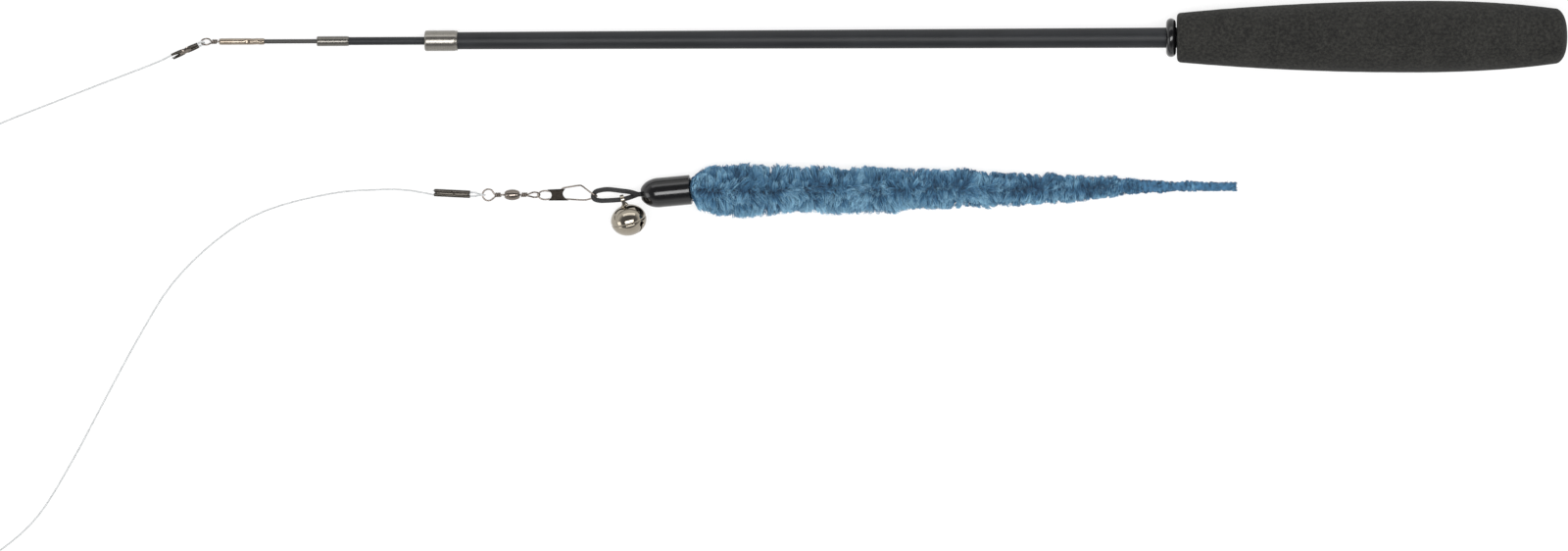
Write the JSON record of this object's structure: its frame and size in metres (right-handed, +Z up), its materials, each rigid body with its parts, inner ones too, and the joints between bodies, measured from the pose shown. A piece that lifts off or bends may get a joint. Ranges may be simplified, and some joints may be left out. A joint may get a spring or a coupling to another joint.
{
  "type": "cat teaser wand",
  "caption": "Telescopic cat teaser wand with foam grip, metal ferrules, coiled nylon line, snap swivel, jingle bell and long blue plush tail.",
  "frame": {"origin": "centre of the footprint of the wand and toy, on the surface that they lie on; the line is left out of that box", "axes": "+X runs from the wand's tip to its grip and is the longest extent, +Y from the toy to the wand, +Z up from the surface"},
  "size_m": [0.4635, 0.1573, 0.0208],
  "materials": {
    "foam": "matt foam",
    "black_gloss": "gloss",
    "black_satin": "satin",
    "ferrule_metal": "brushed nickel",
    "dark_metal": "dark nickel",
    "wire": "bright",
    "nylon": "clear nylon",
    "elastic": "woven elastic",
    "plush": "plush",
    "bell_metal": "bright nickel"
  },
  "bodies": {
    "handle": {"grip": "foam", "grip_collar": "black_gloss", "tube_end_plug": "black_satin", "main_tube": "black_satin", "large_ferrule": "ferrule_metal"},
    "mid_section": {"mid_tube": "black_satin", "small_ferrule": "ferrule_metal", "mid_tube_stop": "black_satin"},
    "tip_section": {"tip_rod": "black_satin", "tip_rod_stop": "black_satin", "tip_crimp": "dark_metal"},
    "tip_eye": {"tip_eye": "wire"},
    "line": {"tip_sleeve": "dark_metal", "line_upper": "nylon", "line_coil": "nylon", "line_lower": "nylon", "lure_sleeve": "dark_metal"},
    "front_eye": {"swivel_front_eye": "wire"},
    "barrel": {"swivel_barrel": "wire"},
    "rear_eye": {"swivel_rear_eye": "wire"},
    "snap": {"snap_wire": "wire", "snap_plate": "dark_metal"},
    "latch": {"snap_latch_arm": "wire"},
    "toy": {"elastic_loop": "elastic", "tail_cap": "black_gloss", "tail_core": "wire", "tail_plush": "plush"},
    "bell": {"bell_top_shell": "bell_metal", "bell_bottom_shell": "bell_metal", "bell_shank": "bell_metal"},
    "clapper": {"bell_clapper": "ferrule_metal"}
  },
  "joints": [
    {"name": "mid_slide", "type": "slide", "parent": "handle", "child": "mid_section", "axis": [-0.9996, 0, -0.0266], "range_m": [-0.0213, 0.272]},
    {"name": "tip_slide", "type": "slide", "parent": "mid_section", "child": "tip_section", "axis": [-0.9996, 0, -0.0266], "range_m": [-0.0146, 0.262]},
    {"name": "tip_eye_spin", "type": "hinge", "parent": "tip_section", "child": "tip_eye", "pos_m": [-0.19175, 0.02288, 0.00131], "axis": [0.9996, 0, 0.0266], "continuous": true},
    {"name": "line_swing", "type": "hinge", "parent": "tip_eye", "child": "line", "pos_m": [-0.19458, 0.02236, 0.00186], "axis": [0.1883, -0.6313, 0.7523], "range_deg": [-60, 30]},
    {"name": "front_swing", "type": "hinge", "parent": "line", "child": "front_eye", "pos_m": [-0.11444, -0.02122, 0.00155], "axis": [0, -1, 0], "range_deg": [-10, 80]},
    {"name": "barrel_spin", "type": "hinge", "parent": "front_eye", "child": "barrel", "pos_m": [-0.10597, -0.02122, 0.00155], "axis": [1, 0, 0], "continuous": true},
    {"name": "rear_eye_spin", "type": "hinge", "parent": "barrel", "child": "rear_eye", "pos_m": [-0.10597, -0.02122, 0.00155], "axis": [1, 0, 0], "continuous": true},
    {"name": "snap_swing", "type": "hinge", "parent": "rear_eye", "child": "snap", "pos_m": [-0.09811, -0.02122, 0.00155], "axis": [0, 0.5, 0.866], "range_deg": [-40, 6]},
    {"name": "latch_open", "type": "hinge", "parent": "snap", "child": "latch", "pos_m": [-0.08177, -0.02164, 0.00155], "axis": [0, 0, -1], "range_deg": [0, 25], "stiffness_Nm_per_rad": 0.00005},
    {"name": "toy_swing", "type": "hinge", "parent": "snap", "child": "toy", "pos_m": [-0.08177, -0.02164, 0.00155], "axis": [0, 0, 1], "range_deg": [-25, 6]},
    {"name": "bell_swing", "type": "hinge", "parent": "toy", "child": "bell", "pos_m": [-0.07431, -0.02266, 0.00696], "axis": [0.988, 0.118, -0.0994], "range_deg": [-30, 52]},
    {"name": "clapper_roll", "type": "hinge", "parent": "bell", "child": "clapper", "pos_m": [-0.07262, -0.02856, 0.00515], "axis": [-0.2644, 0.9221, 0.2824], "continuous": true}
  ]
}
